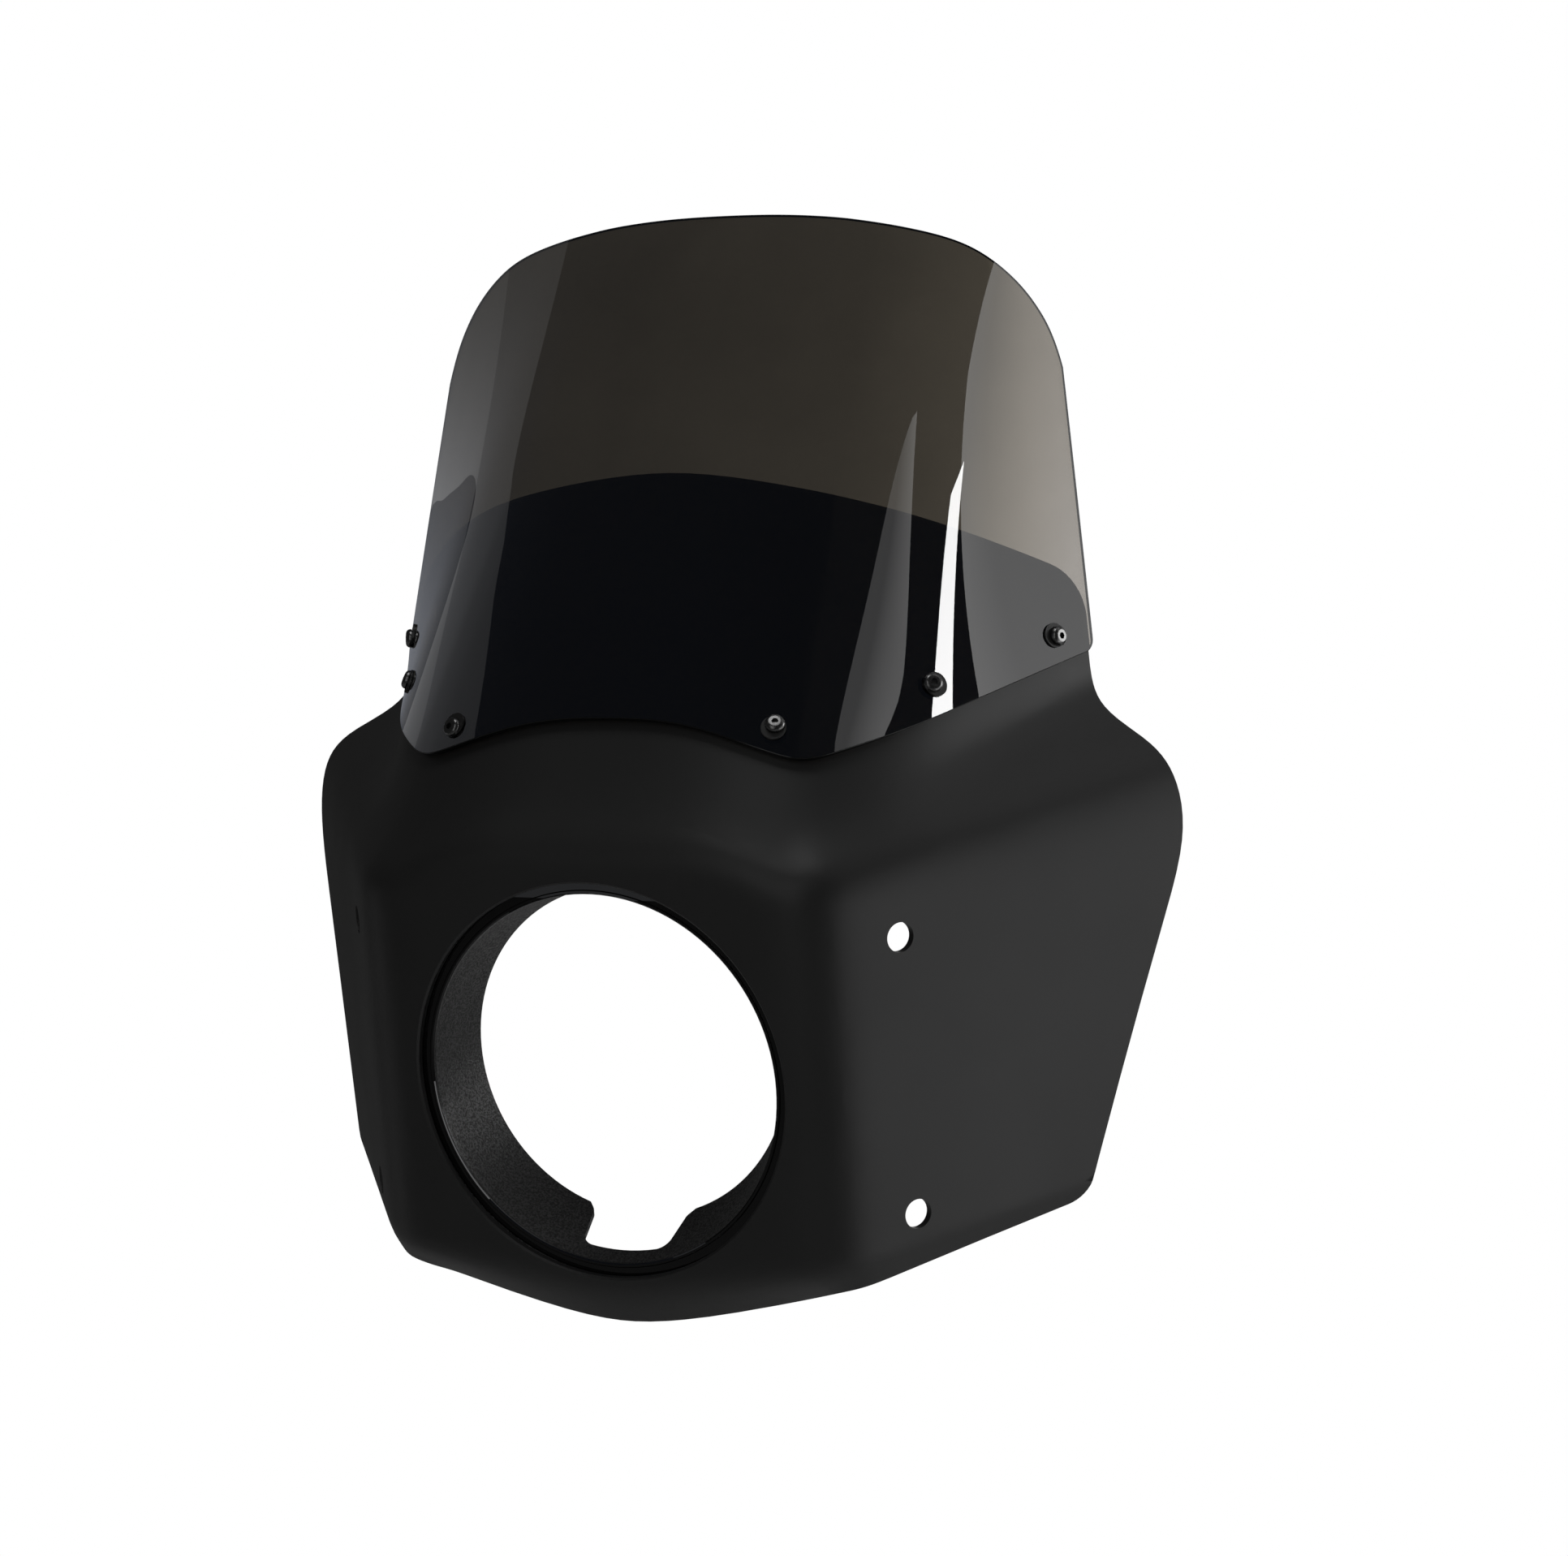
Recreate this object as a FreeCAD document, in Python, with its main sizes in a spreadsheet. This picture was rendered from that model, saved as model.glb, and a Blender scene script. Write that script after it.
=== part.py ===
import FreeCAD, Part
import math
import os
import Sketcher
from FreeCAD import Placement, Rotation, Vector

# Headlight cowl for a motorbike: a moulded shell with a round lamp opening, a smoked windshield
# on rubber well nuts and a funnel ring behind the opening. Millimetres.
# X is across, -Y is the way the lamp looks, +Z is up, and the origin is the centre of the opening.

SIZES = {
    # Lamp opening and wall of the shell
    "lamp_hole_radius": 95.0,
    "lamp_hole_chamfer": 1.0,
    "shell_wall": 4.0,
    # Plan of the lower shell: flat front, bend, straight side panel
    "front_corner_x": 116.0,
    "front_bend_radius": 38.0,
    "panel_angle": 53.7,
    "rear_before_heel": 53.0,
    "rear_slope": 0.33,
    "rear_bow": 2.2,
    # Chin and bottom edge
    "chin_drop": 120.8,
    "bottom_slope": 0.25,
    "bottom_round": 9.0,
    "chin_back_centre": 12.0,
    "chin_back_front": 20.0,
    "chin_back_bend": 6.0,
    "chin_back_rear": 2.5,
    "chin_straight_below": 50.0,
    "bottom_corner_radius": 16.0,
    # Ridge above the side panels, and the shelf over it
    "ridge_over_nose_bend": 0.6,
    "ridge_over_nose_rear": 28.6,
    "ridge_before_heel": 25.4,
    "ridge_inset_rear": 6.0,
    "ridge_soft_front": 15.0,
    "ridge_soft_rear": 34.0,
    "shelf_rise_centre": 20.0,
    "shelf_rise_side": 24.0,
    "shelf_soft": 22.0,
    # Flange behind the windshield
    "flange_over_base": 105.0,
    "flange_drop": 64.0,
    "flange_corner_radius": 28.0,
    # Windshield sheet: straight rulings from a bowed base to a flatter top
    "screen_wall": 3.0,
    "screen_gap": 1.6,
    "base_over_opening": 70.0,
    "base_depth": 42.0,
    "base_flat": 44.0,
    "base_bend_radius": 105.0,
    "base_angle": 61.0,
    "base_length": 260.5,
    "top_height": 385.0,
    "top_depth": 208.4,
    "top_radius": 390.0,
    "top_length": 160.0,
    # Windshield outline
    "crown_height": 384.2,
    "crown_drop": 35.0,
    "crown_corner_radius": 45.0,
    "hump_under_base": 1.1,
    "dip_under_base": 19.7,
    "dip_share": 0.385,
    "heel_over_base": 7.2,
    "heel_radius": 5.0,
    # Screws of the windshield, by share of the sheet's half width and by rise over its bottom edge
    "screw_share_front": 0.317,
    "screw_share_mid": 0.62,
    "screw_share_rear": 0.906,
    "screw_rise_front": 10.6,
    "screw_rise_mid": 13.9,
    "screw_rise_rear": 13.4,
    # Side mounting holes
    "mount_hole_radius": 7.0,
    "mount_beyond_bend": 25.5,
    "mount_half_pitch": 65.6,
    # Button head screw, nylon washer, well nut
    "screw_shank_radius": 2.5,
    "screw_length": 20.0,
    "screw_head_radius": 4.75,
    "screw_head_height": 2.75,
    "screw_rim_height": 0.6,
    "screw_crown_radius": 2.6,
    "screw_shoulder_radius": 4.2,
    "screw_shoulder_height": 1.9,
    "screw_socket_width": 3.0,
    "screw_socket_depth": 1.6,
    "washer_radius": 5.9,
    "washer_thick": 1.0,
    "screw_clearance": 0.25,
    "screen_hole_clearance": 0.6,
    "washer_seat": 0.05,
    "sleeve_radius": 4.8,
    "sleeve_length": 14.0,
    "sleeve_clearance": 0.2,
    "sleeve_flange_radius": 7.2,
    "sleeve_flange_thick": 0.9,
    "sleeve_seat": 0.5,
    "insert_radius": 3.5,
    "insert_length": 7.0,
    "insert_rim_radius": 4.4,
    "insert_rim_thick": 1.0,
    "insert_clearance": 0.1,
    "insert_bore_clearance": 0.1,
    # Headlight ring
    "ring_gap": 1.0,
    "ring_wall": 2.5,
    "ring_front_inset": 5.6,
    "ring_rear_inset": 14.6,
    "ring_depth": 31.9,
    "ring_rear_rise": 5.2,
    "ring_flange_lap": 3.0,
    "bead_inset": 3.6,
    "bead_lap": 0.4,
    "bead_rise": 0.5,
    "bead_chamfer": 0.7,
    "notch_floor_half": 22.0,
    "notch_side_half": 24.5,
    "notch_depth": 23.0,
    "notch_corner_radius": 6.0,
    "notch_lip": 3.4,
    "notch_lip_radius": 4.0,
    # Ring fixings: bosses on the shell, ears on the ring and four tapping screws
    "boss_beyond_opening": 10.0,
    "boss_angle": 45.0,
    "boss_radius": 5.0,
    "boss_length": 8.0,
    "boss_pilot_radius": 2.0,
    "ear_radius": 6.5,
    "ear_thick": 3.0,
    "tapper_shank_radius": 1.95,
    "tapper_length": 9.0,
    "tapper_head_radius": 4.0,
    "tapper_head_height": 2.4,
    "tapper_cross_width": 1.0,
    "tapper_cross_length": 4.4,
    "tapper_cross_depth": 1.2,
}

DEGREE = 3
CHIN_ROWS = ((0.0, 1.0), (0.13, 0.5), (0.27, 0.0), (0.5, 0.0), (1.0, 0.0))
ROW_STEPS_LOW = (0.36, 0.70)
ROW_STEPS_HIGH = (0.5, 0.85)
FRONT_SHARES = (0.0, 0.09, 0.18, 0.265, 0.337)
BEND_SHARES = (0.365, 0.392, 0.418)
PANEL_STEPS = (0.16, 0.32, 0.48, 0.64, 0.80, 0.91, 0.975, 1.0)
CROWN_POWER = 2.4
FLANGE_POWER = 1.8
HUMP_POWER = 1.67
SOCKET_TURN = 23.0
RING_SCREWS = ("top_right", "top_left", "bottom_left", "bottom_right")
QUARTER_TURN = 90.0
RIM_REACH = 0.01
LEFT = -1
RIGHT = 1
SIDES = {"left": LEFT, "right": RIGHT}
PLACES = ("front", "mid", "rear")

doc = FreeCAD.newDocument("headlight_cowl")
sheet = doc.addObject("Spreadsheet::Sheet", "Sizes")
for row, (alias, value) in enumerate(SIZES.items(), start=1):
    sheet.set(f"A{row}", alias)
    sheet.set(f"B{row}", str(value))
    sheet.setAlias(f"B{row}", alias)
doc.recompute()


def size(alias):
    return float(sheet.get(alias))


def bent_line(distance, flat, radius, turn):
    """Place on a plan line: straight across, then an arc, then straight again. Returns across, back."""
    arc = radius * turn
    angle = min(max(distance - flat, 0.0) / radius, turn)
    rest = max(distance - flat - arc, 0.0)
    across = min(distance, flat) + radius * math.sin(angle) + rest * math.cos(turn)
    back = radius * (1 - math.cos(angle)) + rest * math.sin(turn)
    return across, back


# Windshield rulings, which the flange of the shell follows too

def base_height():
    return size("lamp_hole_radius") + size("base_over_opening")


def screen_point(share, height):
    """Inner face of the windshield at a share of its half width, right side."""
    turn = math.radians(size("base_angle"))
    base_x, base_y = bent_line(share * size("base_length"), size("base_flat"),
                               size("base_bend_radius"), turn)
    top_x, top_y = bent_line(share * size("top_length"), 0.0, size("top_radius"), turn)
    base = Vector(base_x, size("base_depth") + base_y, base_height())
    top = Vector(top_x, size("top_depth") + top_y, size("top_height"))
    along = (height - base.z) / (top.z - base.z)
    return base + (top - base) * along


def screen_normal(share, height):
    """Outward normal of the windshield, right side."""
    small = 0.001
    across = screen_point(share + small, height) - screen_point(share, height)
    up = screen_point(share, height + 1) - screen_point(share, height)
    return across.cross(up).normalize()


def below_screen(share, height, depth):
    return screen_point(share, height) - screen_normal(share, height) * depth


def nose_height(share):
    """Height at which a ruling meets the flat front."""
    low = screen_point(share, 0)
    high = screen_point(share, base_height())
    return base_height() * low.y / (low.y - high.y)


# Plan of the lower shell

PANEL_TURN = math.radians(size("panel_angle"))
FLAT_HALF = size("front_corner_x") - size("front_bend_radius") * math.tan(PANEL_TURN / 2)
BEND_LENGTH = size("front_bend_radius") * PANEL_TURN
BEND_END_Y = bent_line(FLAT_HALF + BEND_LENGTH, FLAT_HALF, size("front_bend_radius"), PANEL_TURN)[1]
PANEL_NORMAL = Vector(math.sin(PANEL_TURN), -math.cos(PANEL_TURN), 0)
COLUMNS = len(FRONT_SHARES) + len(BEND_SHARES) + len(PANEL_STEPS)
FRONT_LAST = len(FRONT_SHARES) - 1
BEND_LAST = FRONT_LAST + len(BEND_SHARES)


def heel_height():
    return base_height() + size("heel_over_base")


def heel_depth():
    """Depth of the windshield's rear bottom corner, from which the rear edge is measured."""
    return screen_point(1, heel_height()).y


def ridge_height(rise):
    return nose_height(FRONT_SHARES[-1]) + size(rise)


def rear_depth(height):
    bow = size("rear_bow") * (height / ridge_height("ridge_over_nose_rear")) ** 2
    return heel_depth() - size("rear_before_heel") + size("rear_slope") * height + bow


def column_share(column):
    """Share of the windshield's half width that a column of the shell runs up to."""
    if column <= FRONT_LAST:
        return FRONT_SHARES[column]
    if column <= BEND_LAST:
        return BEND_SHARES[column - FRONT_LAST - 1]
    step = PANEL_STEPS[column - BEND_LAST - 1]
    return BEND_SHARES[-1] + (1 - BEND_SHARES[-1]) * step


def by_column(column, centre, front, bend, rear):
    """A size that changes evenly from the centre to the front bend, its end and the rear edge."""
    if column <= FRONT_LAST:
        return centre + (front - centre) * column / FRONT_LAST
    if column <= BEND_LAST:
        return front + (bend - front) * (column - FRONT_LAST) / (BEND_LAST - FRONT_LAST)
    return bend + (rear - bend) * PANEL_STEPS[column - BEND_LAST - 1]


def lower_point(column, height, inward=0.0, rear=None):
    """Outer face of the lower shell, set inward from its plan by a distance."""
    if column <= FRONT_LAST:
        share = FRONT_SHARES[column]
        return Vector(screen_point(share, nose_height(share)).x, inward, height)
    if column <= BEND_LAST:
        step = (column - FRONT_LAST) / len(BEND_SHARES)
        distance = FLAT_HALF + BEND_LENGTH * step
        angle = PANEL_TURN * step
    else:
        back = rear_depth(height) if rear is None else rear
        length = (back - BEND_END_Y) / math.sin(PANEL_TURN)
        distance = FLAT_HALF + BEND_LENGTH + length * PANEL_STEPS[column - BEND_LAST - 1]
        angle = PANEL_TURN
    x, y = bent_line(distance, FLAT_HALF, size("front_bend_radius"), PANEL_TURN)
    return Vector(x - inward * math.sin(angle), y + inward * math.cos(angle), height)


def shell_column(column):
    """Control points of one column of the shell's outer face, from its bottom edge to the flange's top."""
    share = column_share(column)
    straight = -size("chin_straight_below")
    bottom_x = lower_point(column, straight).x
    bottom_round = size("bottom_round")
    bottom = math.hypot(size("bottom_slope") * bottom_x, bottom_round) - bottom_round - size("chin_drop")
    chin_back = by_column(column, size("chin_back_centre"), size("chin_back_front"),
                          size("chin_back_bend"), size("chin_back_rear"))
    points = []
    for step, part in CHIN_ROWS:
        points.append(lower_point(column, bottom + step * (straight - bottom), chin_back * part))

    if column <= FRONT_LAST:
        ridge = nose_height(share)
    else:
        ridge = by_column(column, 0.0, nose_height(FRONT_SHARES[-1]),
                          ridge_height("ridge_over_nose_bend"), ridge_height("ridge_over_nose_rear"))
    soft = by_column(column, size("ridge_soft_front"), size("ridge_soft_front"),
                     size("ridge_soft_front"), size("ridge_soft_rear"))
    inset = by_column(column, 0.0, 0.0, 0.0, size("ridge_inset_rear"))
    under_ridge = ridge - soft
    for step in ROW_STEPS_LOW + (1.0,):
        points.append(lower_point(column, straight + (under_ridge - straight) * step))
    points.append(lower_point(column, ridge, inset, heel_depth() - size("ridge_before_heel")))

    rise = by_column(column, size("shelf_rise_centre"), size("shelf_rise_centre"),
                     size("shelf_rise_side"), size("shelf_rise_side"))
    gap = size("screen_gap")
    shelf = below_screen(share, ridge + rise, gap)
    points.append((points[-1] + shelf) * 0.5)
    points.append(shelf)
    foot = ridge + rise + size("shelf_soft")
    top = base_height() + size("flange_over_base") - size("flange_drop") * share ** FLANGE_POWER
    for step in (0.0,) + ROW_STEPS_HIGH + (1.0,):
        points.append(below_screen(share, foot + (top - foot) * step, gap))
    return points


# Sheets of even thickness from a net of control points

def mirrored(columns):
    left = [[Vector(-point.x, point.y, point.z) for point in column] for column in reversed(columns[1:])]
    return left + columns


def clamped_knots(poles):
    degree = min(DEGREE, poles - 1)
    spans = poles - degree
    knots = [float(knot) for knot in range(spans + 1)]
    return degree, knots, [degree + 1] + [1] * (spans - 1) + [degree + 1]


def net_surface(net):
    degree_u, knots_u, mults_u = clamped_knots(len(net))
    degree_v, knots_v, mults_v = clamped_knots(len(net[0]))
    surface = Part.BSplineSurface()
    surface.buildFromPolesMultsKnots(net, mults_u, mults_v, knots_u, knots_v, False, False,
                                     degree_u, degree_v)
    return surface


def pole_places(poles):
    """Parameter that each control point stands for."""
    degree, knots, mults = clamped_knots(poles)
    full = [knot for knot, mult in zip(knots, mults) for _ in range(mult)]
    return [sum(full[k + 1:k + degree + 1]) / degree for k in range(poles)]


def outward(surface, u, v):
    normal = surface.normal(u, v)
    return normal if normal.y < 0 else -normal


def moved_net(net, surface, depth):
    """The net moved inward along the surface's normals."""
    moved = []
    for column, u in zip(net, pole_places(len(net))):
        moved.append([point - outward(surface, u, v) * depth
                      for point, v in zip(column, pole_places(len(column)))])
    return moved


def corner_points(surface, u_end, v_end):
    u_low, u_high, v_low, v_high = surface.bounds()
    return surface.value(u_high if u_end else u_low, v_high if v_end else v_low)


def sheet_solid(outer, inner, low_corner, high_corner):
    """Solid between two faces with the same parameters, with its four corners rounded."""
    u_low, u_high, v_low, v_high = outer.bounds()
    faces = [outer.toShape(), inner.toShape()]
    for u in (u_low, u_high):
        faces.append(Part.makeRuledSurface(outer.uIso(u).toShape(), inner.uIso(u).toShape()))
    for v in (v_low, v_high):
        faces.append(Part.makeRuledSurface(outer.vIso(v).toShape(), inner.vIso(v).toShape()))
    shell = Part.makeShell(faces)
    shell.sewShape()
    solid = Part.Solid(shell)
    if solid.Volume < 0:
        solid.reverse()
    for v_end, radius in ((False, low_corner), (True, high_corner)):
        if not radius:
            continue
        for u_end in (False, True):
            ends = [corner_points(surface, u_end, v_end) for surface in (outer, inner)]
            middle = (ends[0] + ends[1]) * 0.5
            edge = min(solid.Edges, key=lambda e: (e.CenterOfMass - middle).Length)
            solid = solid.makeFillet(radius, [edge])
    return solid


def drill(point, axis, radius, reach):
    """Cylinder that reaches as far to both sides of a point."""
    return Part.makeCylinder(radius, 2 * reach, point - axis * reach, axis)


def add_shape(label, shape):
    feature = doc.addObject("Part::Feature", label)
    feature.Label = label
    feature.Shape = shape
    return feature


# Places on the real surfaces of the windshield and the shell

def right_or_left(point, side):
    return Vector(point.x * side, point.y, point.z)


def screw_seat(surface, place, side):
    """Point of the windshield's inner face under a screw, and the outward normal there."""
    share = size(f"screw_share_{place}")
    target = screen_point(share, screen_bottom(share) + size(f"screw_rise_{place}"))
    u, v = surface.parameter(target)
    return right_or_left(surface.value(u, v), side), right_or_left(outward(surface, u, v), side)


def mount_point(side, level):
    """Centre of a side mounting hole on the outer face of the panel."""
    along = size("mount_beyond_bend")
    distance = FLAT_HALF + BEND_LENGTH + along
    x, y = bent_line(distance, FLAT_HALF, size("front_bend_radius"), PANEL_TURN)
    return Vector(x * side, y, level * size("mount_half_pitch"))


def boss_point(turn, depth):
    angle = math.radians(size("boss_angle") + QUARTER_TURN * turn)
    radius = size("lamp_hole_radius") + size("boss_beyond_opening")
    return Vector(radius * math.cos(angle), depth, radius * math.sin(angle))


def on_lamp_rim(edge):
    """True for an edge of the lamp opening on the outer face of the shell."""
    points = edge.discretize(5)
    radius = size("lamp_hole_radius")
    half_wall = size("shell_wall") / 2
    return all(point.y < half_wall and abs(math.hypot(point.x, point.z) - radius) < RIM_REACH
               for point in points)


BACK = Vector(0, 1, 0)
BOSS_CIRCLE = "(Sizes.lamp_hole_radius + Sizes.boss_beyond_opening)"
RING_FRONT = "(Sizes.lamp_hole_radius - Sizes.ring_front_inset)"
RING_REAR = "(Sizes.lamp_hole_radius - Sizes.ring_rear_inset)"


def make_shell(outer, seats):
    """Moulded shell: sheet, lamp opening, bosses and the holes for well nuts and mountings."""
    wall = size("shell_wall")
    inner = net_surface(moved_net(shell_net(), outer, wall))
    solid = sheet_solid(outer, inner, size("bottom_corner_radius"), size("flange_corner_radius"))
    solid = solid.cut(drill(Vector(0, 0, 0), BACK, size("lamp_hole_radius"), 2 * wall))
    rim = [edge for edge in solid.Edges if on_lamp_rim(edge)]
    solid = solid.makeChamfer(size("lamp_hole_chamfer"), rim)
    for turn in range(len(RING_SCREWS)):
        root = boss_point(turn, wall / 2)
        end = boss_point(turn, wall + size("boss_length"))
        face = boss_point(turn, wall)
        solid = solid.fuse(Part.makeCylinder(size("boss_radius"), end.y - root.y, root, BACK))
        solid = solid.cut(Part.makeCylinder(size("boss_pilot_radius"), end.y - wall, face, BACK))
    for side in SIDES.values():
        for level in (-1, 1):
            across = right_or_left(PANEL_NORMAL, side)
            radius = size("mount_hole_radius")
            solid = solid.cut(drill(mount_point(side, level), across, radius, 2 * wall))
    for point, normal in seats.values():
        hole = size("sleeve_radius") + size("sleeve_clearance")
        solid = solid.cut(drill(point, normal, hole, 3 * wall))
    return solid


def make_windshield(inner, seats):
    """Smoked sheet over the flange, outside the shell."""
    wall = size("screen_wall")
    outer = net_surface(moved_net(screen_net(), inner, -wall))
    solid = sheet_solid(outer, inner, size("heel_radius"), None)
    for point, normal in seats.values():
        hole = size("screw_shank_radius") + size("screen_hole_clearance")
        solid = solid.cut(drill(point, normal, hole, 3 * wall))
    return solid


# Turned and moulded pieces as bodies

def origin_plane(body, role):
    return [(next(item for item in body.Origin.OriginFeatures if item.Role == role), "")]


def attach(item, body, role, lift=None):
    item.AttachmentSupport = origin_plane(body, role)
    item.MapMode = "FlatFace"
    if lift:
        item.setExpression("AttachmentOffset.Base.z", lift)


def outline_sketch(body, name, role, outline, lift=None):
    """Closed outline of straight lines, each corner held by two expressions."""
    sketch = body.newObject("Sketcher::SketchObject", name)
    attach(sketch, body, role, lift)
    corners = [Vector(*(float(sketch.evalExpression(text)) for text in corner), 0) for corner in outline]
    for start, end in zip(corners, corners[1:] + corners[:1]):
        sketch.addGeometry(Part.LineSegment(start, end))
    for index in range(len(corners)):
        sketch.addConstraint(Sketcher.Constraint("Coincident", index, 2, (index + 1) % len(corners), 1))
    for index, (corner, texts) in enumerate(zip(corners, outline)):
        for kind, axis, value, text in (("DistanceX", -2, corner.x, texts[0]),
                                        ("DistanceY", -1, corner.y, texts[1])):
            if text == "0":
                sketch.addConstraint(Sketcher.Constraint("PointOnObject", index, 1, axis))
                continue
            held = sketch.addConstraint(Sketcher.Constraint(kind, -1, 1, index, 1, value))
            sketch.setExpression(f"Constraints[{held}]", text)
    return sketch


def round_corners(sketch, corners, radius):
    """Round some corners of an outline, each with a radius held by an expression."""
    value = float(sketch.evalExpression(radius))
    for corner in corners:
        sketch.fillet(corner, 1, value, True, True)
        arc = max(index for index, item in enumerate(sketch.Geometry)
                  if isinstance(item, Part.ArcOfCircle))
        held = sketch.addConstraint(Sketcher.Constraint("Radius", arc, value))
        sketch.setExpression(f"Constraints[{held}]", radius)


def circle_sketch(body, name, role, radius, across="0", up="0", lift=None):
    sketch = body.newObject("Sketcher::SketchObject", name)
    attach(sketch, body, role, lift)
    place = Vector(float(sketch.evalExpression(across)), float(sketch.evalExpression(up)), 0)
    value = float(sketch.evalExpression(radius))
    sketch.addGeometry(Part.Circle(place, Vector(0, 0, 1), value))
    held = sketch.addConstraint(Sketcher.Constraint("Radius", 0, value))
    sketch.setExpression(f"Constraints[{held}]", radius)
    for kind, axis, distance, text in (("DistanceX", -2, place.x, across), ("DistanceY", -1, place.y, up)):
        if text == "0":
            sketch.addConstraint(Sketcher.Constraint("PointOnObject", 0, 3, axis))
            continue
        held = sketch.addConstraint(Sketcher.Constraint(kind, -1, 1, 0, 3, distance))
        sketch.setExpression(f"Constraints[{held}]", text)
    return sketch


def turned_body(label, outline):
    """Body of revolution about its own Z axis."""
    body = doc.addObject("PartDesign::Body", label)
    body.Label = label
    sketch = outline_sketch(body, f"{label}_outline", "XZ_Plane", outline)
    turning = body.newObject("PartDesign::Revolution", f"{label}_turning")
    turning.Profile = sketch
    turning.ReferenceAxis = (sketch, ["V_Axis"])
    turning.Angle = 360
    doc.recompute()
    return body


def set_down(body, point, direction, turn=0.0):
    own_axis = Vector(0, 0, 1)
    body.Placement = Placement(point, Rotation(own_axis, direction) * Rotation(own_axis, turn))


def make_screw(label):
    """Button head screw with a hexagon socket; the seat of its head is at height 0."""
    top = "Sizes.screw_head_height"
    body = turned_body(label, [
        ("0", "-Sizes.screw_length"), ("Sizes.screw_shank_radius", "-Sizes.screw_length"),
        ("Sizes.screw_shank_radius", "0"), ("Sizes.screw_head_radius", "0"),
        ("Sizes.screw_head_radius", "Sizes.screw_rim_height"),
        ("Sizes.screw_shoulder_radius", "Sizes.screw_shoulder_height"),
        ("Sizes.screw_crown_radius", top), ("0", top)])
    socket = body.newObject("PartDesign::SubtractivePrism", f"{label}_socket")
    socket.Polygon = 6
    socket.setExpression("Circumradius", "Sizes.screw_socket_width / sqrt(3)")
    socket.setExpression("Height", "Sizes.screw_socket_depth")
    attach(socket, body, "XY_Plane", f"{top} - Sizes.screw_socket_depth")
    return body


def make_washer(label):
    """Flat nylon washer; its lower face is at height 0."""
    bore = "Sizes.screw_shank_radius + Sizes.screw_clearance"
    return turned_body(label, [
        (bore, "0"), ("Sizes.washer_radius", "0"),
        ("Sizes.washer_radius", "Sizes.washer_thick"), (bore, "Sizes.washer_thick")])


def make_sleeve(label):
    """Rubber sleeve of the well nut; the top of its flange is at height 0 and its end is counterbored."""
    bore = "Sizes.screw_shank_radius + Sizes.screw_clearance"
    pocket = "Sizes.insert_radius + Sizes.insert_clearance"
    end = "-Sizes.sleeve_length"
    step = "Sizes.insert_length - Sizes.sleeve_length"
    return turned_body(label, [
        (pocket, end), ("Sizes.sleeve_radius", end),
        ("Sizes.sleeve_radius", "-Sizes.sleeve_flange_thick"),
        ("Sizes.sleeve_flange_radius", "-Sizes.sleeve_flange_thick"),
        ("Sizes.sleeve_flange_radius", "0"), (bore, "0"), (bore, step), (pocket, step)])


def make_insert(label):
    """Brass insert of the well nut; its rim's inner face is at height 0, against the sleeve's end."""
    bore = "Sizes.screw_shank_radius + Sizes.insert_bore_clearance"
    rim = "-Sizes.insert_rim_thick"
    top = "Sizes.insert_length - Sizes.insert_clearance"
    return turned_body(label, [
        (bore, rim), ("Sizes.insert_rim_radius", rim), ("Sizes.insert_rim_radius", "0"),
        ("Sizes.insert_radius", "0"), ("Sizes.insert_radius", top), (bore, top)])


def make_tapper(label):
    """Tapping screw of the ring, with a cross recess; the seat of its head is at height 0."""
    top = "Sizes.tapper_head_height"
    body = turned_body(label, [
        ("0", "-Sizes.tapper_length"), ("Sizes.tapper_shank_radius", "-Sizes.tapper_length"),
        ("Sizes.tapper_shank_radius", "0"), ("Sizes.tapper_head_radius", "0"),
        ("Sizes.tapper_head_radius", top), ("0", top)])
    for name, length, width in (("long", "tapper_cross_length", "tapper_cross_width"),
                                ("short", "tapper_cross_width", "tapper_cross_length")):
        slot = body.newObject("PartDesign::SubtractiveBox", f"{label}_slot_{name}")
        slot.setExpression("Length", f"Sizes.{length}")
        slot.setExpression("Width", f"Sizes.{width}")
        slot.setExpression("Height", "Sizes.tapper_cross_depth")
        attach(slot, body, "XY_Plane", f"{top} - Sizes.tapper_cross_depth")
        slot.setExpression("AttachmentOffset.Base.x", f"-Sizes.{length} / 2")
        slot.setExpression("AttachmentOffset.Base.y", f"-Sizes.{width} / 2")
    return body


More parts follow.
